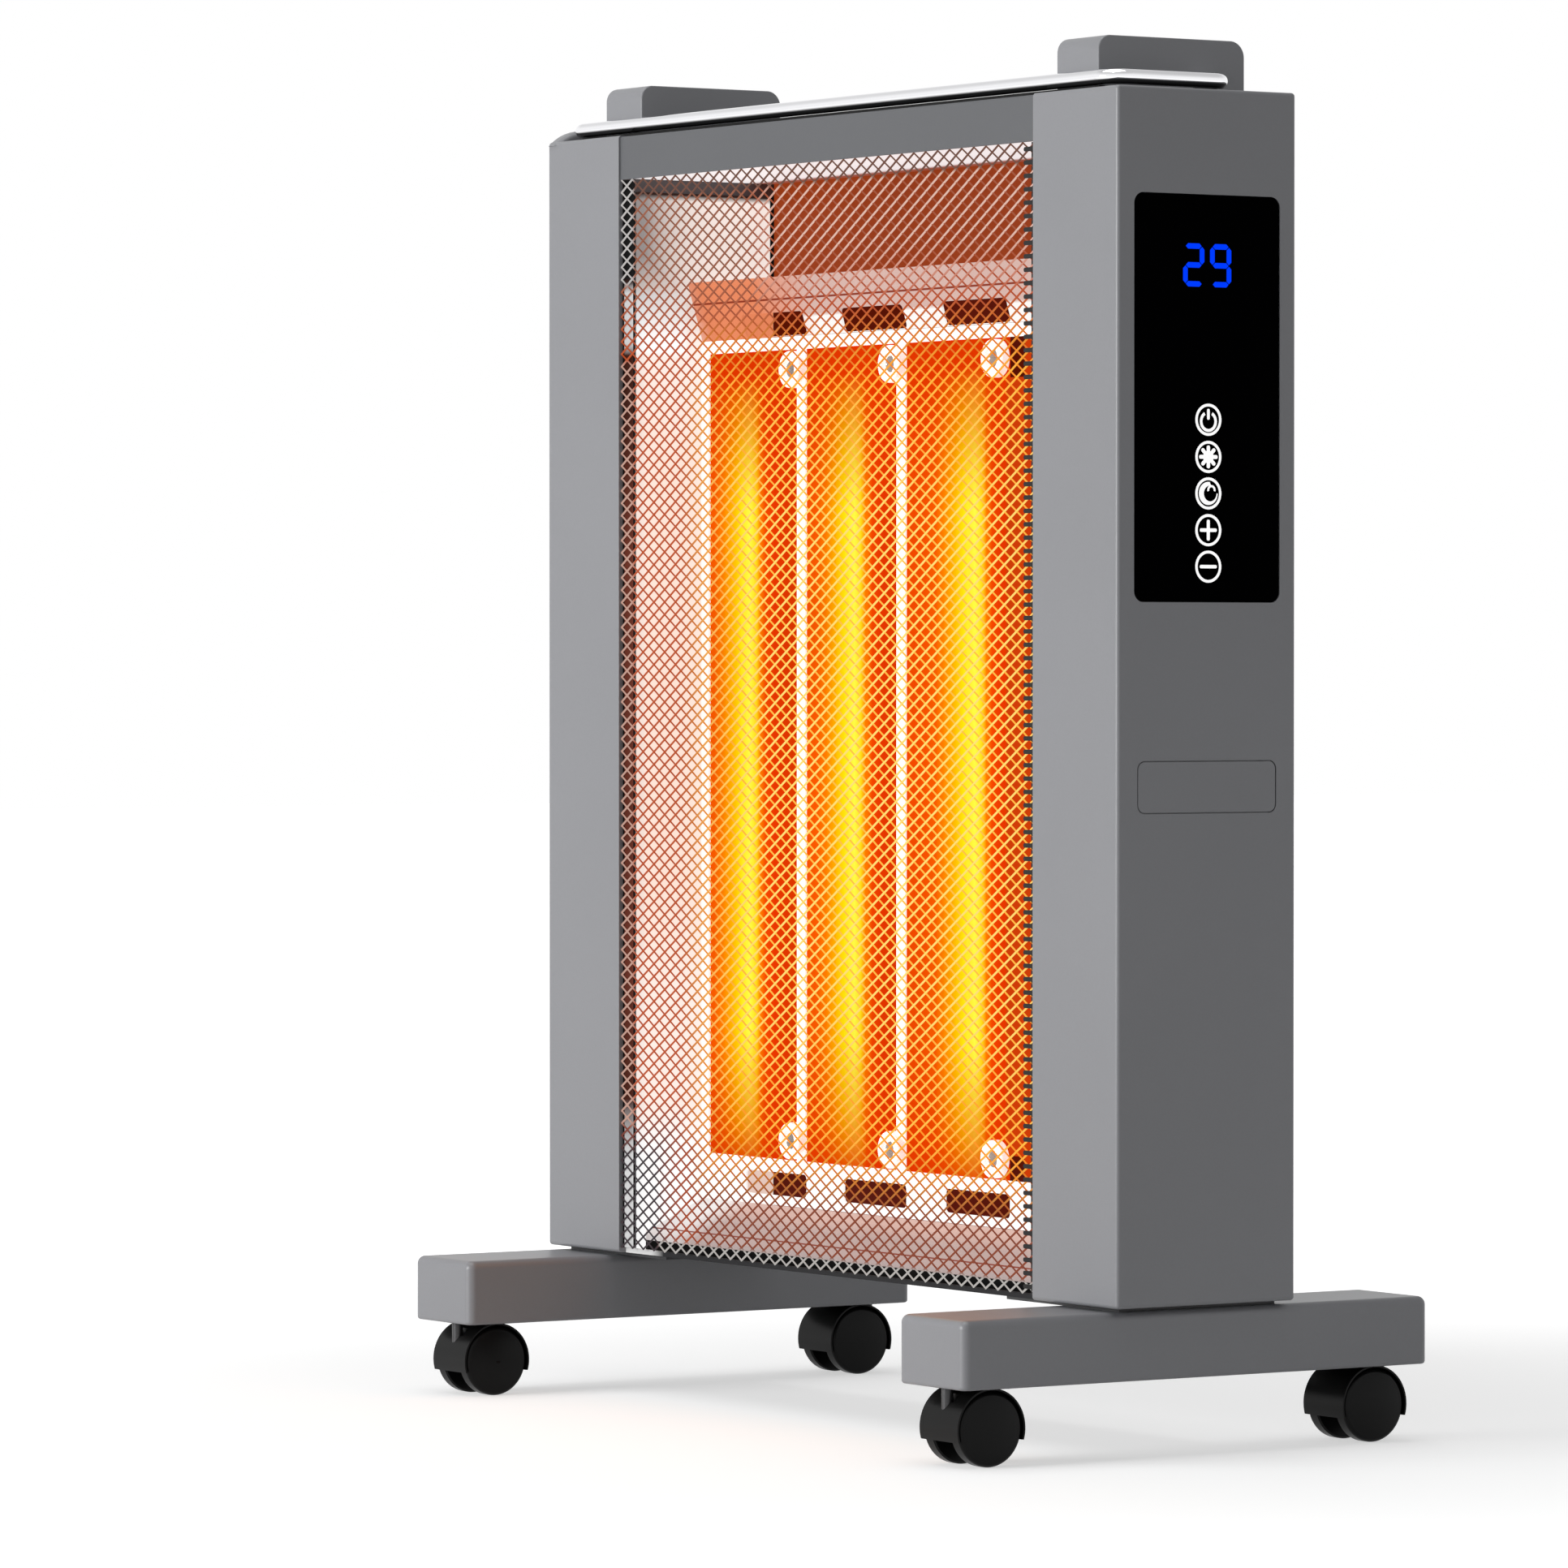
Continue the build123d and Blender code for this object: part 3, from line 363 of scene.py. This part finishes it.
def zoned(
    name, base, zones, across="X", glow=0.6, body=0.35, rough=0.4, scale=600.0, tone=0.1
):
    """Sheet whose colour is given off as its own light, laid on in soft-edged zones over a base
    colour: painted glow, reflection and shade on the net, strips, liners and pan. Each zone is
    (colour, left, right, low, high, softness), in metres along the across axis and Z."""
    material = bpy.data.materials.new(name)
    material.use_nodes = True
    tree = material.node_tree
    bsdf = tree.nodes["Principled BSDF"]
    bsdf.inputs["Roughness"].default_value = rough
    bsdf.inputs["Specular IOR Level"].default_value = 0.03
    bsdf.inputs["Emission Strength"].default_value = glow
    place = tree.nodes.new("ShaderNodeTexCoord")
    split = tree.nodes.new("ShaderNodeSeparateXYZ")
    tree.links.new(place.outputs["Object"], split.inputs["Vector"])
    sides = ("Left", "Right", "Low", "High", "Soft")
    shade = base
    for colour, *edges in zones:
        mask = tree.nodes.new("ShaderNodeGroup")
        mask.node_tree = window
        feed(tree, mask.inputs["Across"], split.outputs[across])
        feed(tree, mask.inputs["Up"], split.outputs["Z"])
        for side, edge in zip(sides, edges):
            mask.inputs[side].default_value = edge
        shade = blended(tree, mask.outputs["Mask"], shade, colour)
    skin = grain_skin(tree, scale, tone)
    for socket, level in (("Emission Color", 1.0), ("Base Color", body)):
        part = worked_out(tree, "MULTIPLY", skin.outputs["Shade"], level)
        feed(tree, bsdf.inputs[socket], blended(tree, 1.0, shade, part, "MULTIPLY"))
    return material


def net_painted_glow(name, wall, upper, recess, panel, warm, tray):
    """Broad soft zones of painted light: the steel gives off the glow of the part of the box it
    faces, with painted shade under the top and at the lower left.
    """
    return zoned(name, wall, [
        (upper, -0.2, -0.052, 0.56, 0.64, 0.04),
        (recess, -0.049, 0.2, 0.5735, 0.64, 0.03),
        # Painted shade under the crossbar, along the net's top.
        ((0.15, 0.07, 0.05), -0.2, 0.2, 0.6195, 0.64, 0.002),
        (tray, -0.12, 0.2, 0.06, 0.128, 0.03),
        (panel, -0.1, 0.24, 0.126, 0.536, 0.04),
        (warm, -0.09, 0.2, 0.17, 0.49, 0.08),
        # Painted shade at the net's lower left.
        ((0.05, 0.04, 0.045), -0.2, -0.138, 0.06, 0.14, 0.03),
        ((0.5, 0.3, 0.24), -0.2, -0.1745, 0.14, 0.535, 0.003),
        ((0.46, 0.44, 0.43), -0.2, -0.1745, 0.575, 0.64, 0.003),
        ((0.42, 0.4, 0.38), -0.15, 0.2, 0.06, 0.0815, 0.002),
    ], glow=1.0, body=0.1, scale=1500.0)


rising = strands("net_rising", net_low.y, net_low.y + strand_t, rising_w, cell_h)
paint(rising, net_painted_glow(
    "net_rising_painted_glow", (0.46, 0.085, 0.028), (0.3, 0.11, 0.065), (0.7, 0.46, 0.38),
    (1.0, 0.42, 0.03), (1.0, 0.68, 0.17), (0.24, 0.06, 0.03),
))
behind = net_low.y + 0.0001
# The falling strands: a darker copy of the painted glow, as painted shade.
falling = strands("net_falling", behind, behind + strand_t, falling_w, -cell_h)
paint(falling, net_painted_glow(
    "net_falling_painted_glow_shade", (0.4, 0.065, 0.02), (0.22, 0.08, 0.045), (0.33, 0.08, 0.035),
    (0.93, 0.24, 0.01), (1.0, 0.48, 0.06), (0.2, 0.05, 0.028),
))
net = join_as("expanded_net", [rising, falling])
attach(net, "frame")
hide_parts("front_grille")


# Edge strips
# A plain folded strip closes the net's left edge. Its colour is painted glow and reflection,
# given off as its own light, with painted shade black at its top and along both its edges. On
# the right the net hangs on a comb of tabs, one to each row of diamonds, stamped from one strip
# behind the column's edge; tabs and strip are near black as painted shade from the column.
edge_low, edge_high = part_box("grille_edge_strips")
strip_w = 0.0105
left_strip = start_cube(
    "left_strip", edge_low, (edge_low.x + strip_w, edge_high.y, edge_high.z)
)
pick(left_strip, "EDGE", lambda edge: all(v.co.x > edge_low.x + strip_w / 2 for v in edge.verts))
bpy.ops.mesh.bevel(offset=0.0002, segments=2)
bpy.ops.object.mode_set(mode="OBJECT")
paint(left_strip, zoned("left_strip_painted_light", (0.045, 0.01, 0.005), [
    ((0.16, 0.035, 0.02), -0.2, 0.0, 0.2, 0.45, 0.12),
    ((0.6, 0.6, 0.6), -0.2, 0.0, 0.542, 0.574, 0.006),
    # Black at the top: painted shade under the crossbar.
    ((0.004, 0.004, 0.004), -0.2, 0.0, 0.577, 0.64, 0.004),
    ((0.7, 0.7, 0.7), -0.2, 0.0, 0.06, 0.138, 0.03),
    # Thin dark lines along both edges of the strip: painted shade.
    ((0.003, 0.003, 0.003), -0.2, -0.1849, 0.0, 0.7, 0.0004),
    ((0.003, 0.003, 0.003), -0.1764, 0.0, 0.0, 0.7, 0.0003),
], scale=160.0, tone=0.5))

comb_x, tab_half = 0.1776, 0.0011
tab_z = net_low.z + cell_h / 2
comb = start_cube(
    "comb_tab", (comb_x, net_low.y - 0.0003, tab_z - tab_half),
    (edge_high.x, net_low.y + 0.0002, tab_z + tab_half),
)
pick(comb, "EDGE", lambda edge: all(v.co.x < comb_x + 0.001 for v in edge.verts)
     and abs(edge.verts[0].co.y - edge.verts[1].co.y) > 0.0003)
bpy.ops.mesh.bevel(offset=0.00105, segments=3)
bpy.ops.object.mode_set(mode="OBJECT")
repeat(comb, (0.0, 0.0, cell_h), rows)
apply_all(comb)
spine_w = 0.0028
spine = start_cube(
    "comb_spine", (edge_high.x - spine_w, net_low.y + 0.0001, edge_low.z),
    (edge_high.x, edge_low.y + 0.0008, edge_high.z),
)
# Near black: painted shade from the column on the tabs and their strip.
tab_painted_shade = grained("tab_painted_shade", (0.006, 0.005, 0.005), 0.5, gloss=0.2)
paint(comb, tab_painted_shade)
paint(spine, tab_painted_shade)
strips = join_as("net_edge_strips", [left_strip, comb, spine])
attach(strips, "frame")
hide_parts("grille_edge_strips")


# Bright liners
# Polished sheet lines the box. Its mirror image of the glow is painted into its colour and given
# off as its own light: white near the panels, pink further off, and painted shade brown in the
# recess behind the top and black in its seams.
white, seam = (0.95, 0.93, 0.91), (0.25, 0.03, 0.01)
black = (0.003, 0.003, 0.003)
for side in ("left", "right"):
    paint(node["side_liner_" + side], zoned("side_liner_painted_light_" + side, (0.97, 0.85, 0.79), [
        ((0.96, 0.74, 0.63), -0.04, 0.0, 0.25, 0.5, 0.08),
        ((0.97, 0.97, 0.97), -0.06, -0.012, 0.54, 0.573, 0.003),
        ((0.2, 0.18, 0.18), -0.06, -0.018, 0.573, 0.64, 0.05),
        ((0.84, 0.74, 0.69), -0.012, 0.06, 0.573, 0.621, 0.05),
        # Painted shade under the ceiling.
        ((0.03, 0.015, 0.012), -0.06, 0.06, 0.6215, 0.64, 0.003),
        ((0.97, 0.97, 0.97), -0.06, 0.0, 0.06, 0.138, 0.02),
        ((0.78, 0.24, 0.11), -0.0015, 0.06, 0.543, 0.5765, 0.002),
        ((0.8, 0.6, 0.52), -0.0015, 0.06, 0.1, 0.12, 0.002),
        # Painted shade, black, at the back under the top.
        (black, 0.0405, 0.1, 0.5765, 0.64, 0.0004),
    ], across="Y", glow=0.95, body=0.15))
paint(node["inner_back"], zoned("back_painted_light", (0.1, 0.005, 0.0), [
    ((0.33, 0.047, 0.009), -0.1, 0.1, 0.5765, 0.64, 0.003),
    ((0.04, 0.042, 0.045), 0.0433, 0.1, 0.0, 0.7, 0.0001),
], across="Y", glow=0.8, body=0.12, tone=0.25))
paint(node["ceiling_liner"], zoned("ceiling_painted_light", (0.3, 0.08, 0.05), [
    ((0.9, 0.9, 0.92), -0.06, 0.03, 0.6, 0.7, 0.01),
], across="Y", glow=0.8))
paint(node["reflector_upper"], zoned("shelf_painted_light", (0.66, 0.46, 0.41), [
    (white, -0.2, 0.2, 0.5, 0.5572, 0.0015),
    ((0.78, 0.24, 0.11), -0.2, -0.1, 0.5, 0.6, 0.05),
    (seam, -0.2, 0.2, 0.5657, 0.5667, 0.0004),
], glow=0.85, body=0.2))
paint(node["reflector_lower"], zoned("tray_painted_light", (0.55, 0.44, 0.42), [
    ((0.72, 0.5, 0.44), -0.2, 0.2, 0.0935, 0.11, 0.006),
    ((0.95, 0.95, 0.95), -0.2, -0.15, 0.08, 0.11, 0.03),
    (seam, -0.2, 0.2, 0.0851, 0.0856, 0.0002),
    # Painted shade in the gap under the tray's lip.
    (black, -0.2, 0.2, 0.06, 0.0797, 0.0003),
]))
# The white frame gives off a glow of its own: painted light.
paint(node["element_frame"], zoned("frame_painted_glow", white, [], glow=0.85, body=0.4))
# The dark pan, with a painted pale reflection at its left end, gives off a faint painted glow.
paint(node["bottom_pan"], zoned("pan_painted_light", (0.02, 0.02, 0.021), [
    ((0.75, 0.75, 0.75), -0.2, -0.16, 0.06, 0.0756, 0.02),
], glow=0.5, body=1.0))


# Heating panels
# Four upright panels glow orange. Down each runs one wide band, soft on its left and yellow at
# its core, which stops sharply on the right where the element ends. The bands fade at the ends.
strip_low, strip_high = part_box("heating_strips")
band_edges = (-0.1308, -0.0336, 0.0728, 0.175)
band_stops = [
    (0.0, (0.86, 0.065, 0.0)), (0.18, (0.92, 0.1, 0.0)), (0.27, (0.97, 0.21, 0.0)),
    (0.36, (0.99, 0.42, 0.0)), (0.47, (1.0, 0.78, 0.004)), (0.57, (1.0, 0.97, 0.06)),
    (0.635, (1.0, 0.72, 0.01)), (0.68, (0.97, 0.2, 0.0)), (0.735, (0.88, 0.06, 0.0)),
    (0.82, (0.78, 0.035, 0.0)), (1.0, (0.68, 0.035, 0.0)),
]


band, entry, leave = new_group(
    "glow_band",
    [(label, "NodeSocketFloat", 0.0) for label in ("Across", "Up", "Edge")],
    [("Color", "NodeSocketColor")],
)
from_edge = worked_out(band, "SUBTRACT", entry.outputs["Across"], entry.outputs["Edge"])
band_lead, band_w = 0.06, 0.09
into_band = worked_out(band, "ADD", from_edge, band_lead)
across = worked_out(band, "DIVIDE", into_band, band_w, True)
ramp = band.nodes.new("ShaderNodeValToRGB")
end_stops = (band_stops[0], band_stops[-1])
for element, (position, colour) in zip(ramp.color_ramp.elements, end_stops):
    element.position = position
    element.color = (*colour, 1.0)
for position, colour in band_stops[1:-1]:
    ramp.color_ramp.elements.new(position).color = (*colour, 1.0)
band.links.new(across, ramp.inputs["Fac"])
ends = band.nodes.new("ShaderNodeGroup")
ends.node_tree = window
band.links.new(entry.outputs["Up"], ends.inputs["Up"])
for label, value in (
    ("Left", -1.0), ("Right", 1.0), ("Low", strip_low.z + 0.012),
    ("High", strip_high.z - 0.03), ("Soft", 0.07),
):
    ends.inputs[label].default_value = value
banked = (0.74, 0.035, 0.0)
glow = blended(band, ends.outputs["Mask"], banked, ramp.outputs["Color"])
feed(band, leave.inputs["Color"], glow)


def glowing(name, edges):
    """Hot surface with one glow band to each edge; where there are several, each holds up to
    the middle between its neighbours."""
    material = bpy.data.materials.new(name)
    material.use_nodes = True
    tree = material.node_tree
    bsdf = tree.nodes["Principled BSDF"]
    bsdf.inputs["Roughness"].default_value = 0.8
    bsdf.inputs["Specular IOR Level"].default_value = 0.0
    bsdf.inputs["Base Color"].default_value = (0.02, 0.002, 0.0, 1.0)
    bsdf.inputs["Emission Strength"].default_value = 1.0
    place = tree.nodes.new("ShaderNodeTexCoord")
    split = tree.nodes.new("ShaderNodeSeparateXYZ")
    tree.links.new(place.outputs["Object"], split.inputs["Vector"])
    shade = None
    for before, edge in zip((None,) + edges, edges):
        glow = tree.nodes.new("ShaderNodeGroup")
        glow.node_tree = band
        tree.links.new(split.outputs["X"], glow.inputs["Across"])
        tree.links.new(split.outputs["Z"], glow.inputs["Up"])
        glow.inputs["Edge"].default_value = edge
        if shade is None:
            shade = glow.outputs["Color"]
            continue
        beyond = worked_out(tree, "GREATER_THAN", split.outputs["X"], (before + edge) / 2)
        shade = blended(tree, beyond, shade, glow.outputs["Color"])
    skin = grain_skin(tree, 700.0, 0.22)
    mottle = blended(tree, 1.0, shade, skin.outputs["Shade"], "MULTIPLY")
    feed(tree, bsdf.inputs["Emission Color"], mottle)
    return material


for index, edge in enumerate(band_edges[:3], 1):
    paint(node["heater_panel_%d" % index], glowing("panel_glow_%d" % index, (edge,)))
paint(node["heater_panel_4"], zoned("panel_glow_4", (0.6, 0.042, 0.0), [
    ((0.97, 0.45, 0.0), 0.15, 0.17, 0.17, 0.5, 0.03),
], glow=1.0, body=0.02, rough=0.8))
paint(node["heating_strips"], glowing("strip_glow", band_edges))


# Ceramic buttons
# Glazed white discs clamp the panels to the frame, each with a plain steel screw. The rear
# screws, the foot bolts and the thermal cut-out are of the same steel.
glazed = grained("glazed_white_painted_glow", (0.85, 0.83, 0.8), 0.2, 500.0, 0.08, 0.05)
glaze = glazed.node_tree.nodes["Principled BSDF"]
# The discs give off a white glow of their own: painted light from the panels' glow.
glaze.inputs["Emission Color"].default_value = (1.0, 0.98, 0.95, 1.0)
glaze.inputs["Emission Strength"].default_value = 0.5
paint(node["ceramic_buttons"], glazed)
screw_steel = grained("screw_steel", (0.35, 0.32, 0.3), 0.35, 1800.0, 0.2, 0.2, 1.0)
for name in ("button_screws", "rear_screws", "foot_bolts", "thermal_cutout"):
    paint(node[name], screw_steel)


# Black castors
# Twin wheels under a moulded hood, all in glossy black plastic. The stem that turns in the foot
# and the wheels' axle are dark steel.
castor_black = grained("castor_black", (0.004, 0.004, 0.004), 0.3, 700.0, 0.15, 0.03, gloss=0.12)
castor_pin = grained("castor_pin", (0.05, 0.05, 0.052), 0.35, 1800.0, 0.2, 0.1, 0.6)
for corner in ("fr", "fl", "rr", "rl"):
    paint(node["castor_hood_" + corner], castor_black)
    paint(node["castor_pins_" + corner], castor_pin)
    paint(node["castor_wheel_" + corner + "_a"], castor_black)
    paint(node["castor_wheel_" + corner + "_b"], castor_black)


# Chrome rail
# A bright plated rod, bent once at each corner and held by pins in the two blocks. The faces
# that point down are painted darker, a painted reflection of the dark gap below it.
chrome = grained("chrome_plate", (0.9, 0.9, 0.92), 0.06, 300.0, 0.02, 0.01, 1.0)
tree = chrome.node_tree
# Painted reflection: the plating is darkened where its faces point down.
facing = tree.nodes.new("ShaderNodeNewGeometry")
facing_split = tree.nodes.new("ShaderNodeSeparateXYZ")
tree.links.new(facing.outputs["Normal"], facing_split.inputs["Vector"])
painted_downward_shade = stretched(tree, facing_split.outputs["Z"], (-0.42, -0.18), (0.07, 1.0))
plated = tree.nodes["Principled BSDF"].inputs["Base Color"]
painted_dark_reflection = blended(tree, 1.0, plated.links[0].from_socket, painted_downward_shade, "MULTIPLY")
feed(tree, plated, painted_dark_reflection)
paint(node["towel_rail"], chrome)


# Touch panel
# Black glass with two lit digits and, below them, five touch fields printed in white: a power
# sign, a sun and a swirl in rings, then plus and minus.
panel_glass = grained("panel_glass", (0.001, 0.001, 0.0012), 0.1, 300.0, 0.05, 0.0, gloss=0.0)
paint(node["control_glass"], panel_glass)
digit_glow = bpy.data.materials.new("digit_glow")
digit_glow.use_nodes = True
tree = digit_glow.node_tree
bsdf = tree.nodes["Principled BSDF"]
for label, value in (
    ("Base Color", (0.0, 0.0, 0.02)), ("Specular IOR Level", 0.0),
    ("Emission Color", (0.0, 0.045, 1.0)), ("Emission Strength", 1.0),
):
    feed(tree, bsdf.inputs[label], value)
paint(node["display_segments"], digit_glow)

icon_x, icon_y, icon_t = 0.25605, 0.0008, 0.00022


def printed_ring(name, y, z, radius, line, shift=0.0, keep=None):
    """Flat printed ring on the glass. A shift to the side makes it a crescent, and keep tells
    which of its facets stay."""
    bpy.ops.object.select_all(action="DESELECT")
    bpy.ops.mesh.primitive_circle_add(
        vertices=48, radius=radius, fill_type="NGON", location=(icon_x, y, z),
        rotation=(0.0, math.pi / 2, 0.0),
    )
    ring = bpy.context.object
    ring.name = ring.data.name = name
    bpy.ops.object.transform_apply(location=True, rotation=True, scale=True)
    bpy.ops.object.mode_set(mode="EDIT")
    bpy.ops.mesh.select_mode(type="FACE")
    bpy.ops.mesh.select_all(action="SELECT")
    if line < radius:
        bpy.ops.mesh.inset(thickness=line)
        bpy.ops.transform.translate(value=(0.0, shift, 0.0))
        bpy.ops.mesh.delete(type="FACE")
    if keep:
        bpy.ops.object.mode_set(mode="OBJECT")
        centre = Vector((icon_x, y, z))
        pick(ring, "FACE", lambda face: not keep(face.calc_center_median() - centre))
        bpy.ops.mesh.delete(type="FACE")
    bpy.ops.mesh.select_all(action="SELECT")
    bpy.ops.mesh.extrude_region_move(TRANSFORM_OT_translate={"value": (icon_t, 0.0, 0.0)})
    bpy.ops.mesh.select_all(action="SELECT")
    bpy.ops.mesh.normals_make_consistent(inside=False)
    bpy.ops.object.mode_set(mode="OBJECT")
    return ring


def printed_bar(name, y, z, length, height):
    """Flat printed bar with rounded ends, centred on the given place."""
    bar = start_cube(
        name, (icon_x, y - length / 2, z - height / 2),
        (icon_x + icon_t, y + length / 2, z + height / 2),
    )
    pick(bar, "EDGE", lambda edge: abs(edge.verts[0].co.x - edge.verts[1].co.x) > icon_t / 2)
    bpy.ops.mesh.bevel(offset=min(length, height) * 0.45, segments=3)
    bpy.ops.object.mode_set(mode="OBJECT")
    return bar


power_z, sun_z, swirl_z, plus_z, minus_z = 0.4954, 0.4777, 0.4603, 0.4428, 0.4254
field_r, field_line = 0.00765, 0.0013
sign_w, sign_line = 0.01, 0.0017
icons = [
    printed_ring("field_ring", icon_y, z, field_r, field_line)
    for z in (power_z, sun_z, swirl_z, plus_z, minus_z)
]
icons.append(printed_ring(
    "power_ring", icon_y, power_z - 0.0008, 0.005, 0.0014,
    keep=lambda spot: spot.z < 0.0 or abs(spot.y) > 0.0021,
))
icons.append(printed_bar("power_bar", icon_y, power_z + 0.0026, 0.0015, 0.0052))
icons.append(printed_ring("sun_disc", icon_y, sun_z, 0.0031, 1.0))
ray = printed_bar("sun_rays", icon_y + 0.0041, sun_z, 0.0027, 0.0019)
bpy.ops.object.mode_set(mode="EDIT")
bpy.ops.mesh.select_all(action="SELECT")
bpy.ops.mesh.spin(
    steps=7, dupli=True, angle=math.radians(315.0), center=(icon_x, icon_y, sun_z),
    axis=(1.0, 0.0, 0.0),
)
bpy.ops.object.mode_set(mode="OBJECT")
icons.append(ray)
icons.append(printed_ring(
    "swirl_crescent", icon_y, swirl_z, 0.0055, 0.0017, 0.0011,
    keep=lambda spot: spot.y < 0.0012 or spot.z < 0.0,
))
icons.append(printed_ring(
    "swirl_leaf", icon_y + 0.0018, swirl_z + 0.0016, 0.0024, 0.001,
    keep=lambda spot: spot.z > -0.0006,
))
icons.append(printed_bar("plus_across", icon_y, plus_z, sign_w, sign_line))
icons.append(printed_bar("plus_up", icon_y, plus_z, sign_line, sign_w))
icons.append(printed_bar("minus_across", icon_y, minus_z, sign_w, 0.0016))
print_white_painted_glow = grained("print_white_painted_glow", (0.7, 0.7, 0.7), 0.5, 900.0, 0.05, gloss=0.0)
# The print gives off a white glow of its own: painted light, so it reads white away from the
# lamps.
print_painted_glow = print_white_painted_glow.node_tree.nodes["Principled BSDF"]
print_painted_glow.inputs["Emission Color"].default_value = (1.0, 1.0, 1.0, 1.0)
print_painted_glow.inputs["Emission Strength"].default_value = 0.75
touch_icons = join_as("touch_icons", icons)
paint(touch_icons, print_white_painted_glow)
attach(touch_icons, "frame")


# Dark fittings
# Spacers, bushes, gland, switch and carriers are plain dark grey mouldings. The board behind
# the touch panel is green, and the rail lies on a black strip, put in as painted shade for the
# dark line under the rod.
dark_plastic = grained("dark_plastic", (0.035, 0.036, 0.038), 0.55)
for name in (
    "foot_plates", "foot_spacers", "rail_bushes", "control_carrier", "cord_gland", "tip_switch",
    "terminal_block",
):
    paint(node[name], dark_plastic)
board_green = grained("board_green", (0.02, 0.12, 0.05), 0.4, 400.0, 0.2, 0.05)
paint(node["control_board"], board_green)
# Black strip under the rail: painted shade for the dark line beneath the rod.
rest_rubber = grained("rest_rubber", (0.006, 0.006, 0.006), 0.7, gloss=0.2)
paint(node["rail_rest"], rest_rubber)
